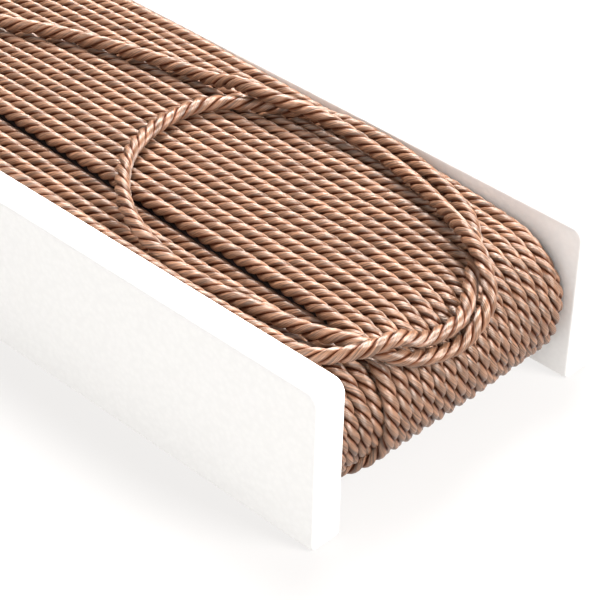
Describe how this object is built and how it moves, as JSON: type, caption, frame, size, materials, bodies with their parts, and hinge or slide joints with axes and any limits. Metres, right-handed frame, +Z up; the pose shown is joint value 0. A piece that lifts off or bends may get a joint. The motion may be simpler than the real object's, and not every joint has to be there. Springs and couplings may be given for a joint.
{
  "type": "twisted decorative cord on a foam former",
  "caption": "Satin twisted cord wound lengthwise in layers between upright foam sides, with its free end lying on top as a loose oval.",
  "frame": {"origin": "under the middle of the former, on the surface it stands on", "axes": "+X along the sides towards the end where the loose oval lies, +Y across the winding to the back side, +Z up"},
  "size_m": [0.3335, 0.112, 0.0578],
  "materials": {
    "foam": "white pebbled foam board",
    "satin_cord": "satin rayon twist, dusty rose to copper brown"
  },
  "bodies": {
    "root": {"flange_front": "foam", "flange_back": "foam", "winding": "satin_cord", "loose_cord": "satin_cord"}
  },
  "joints": []
}
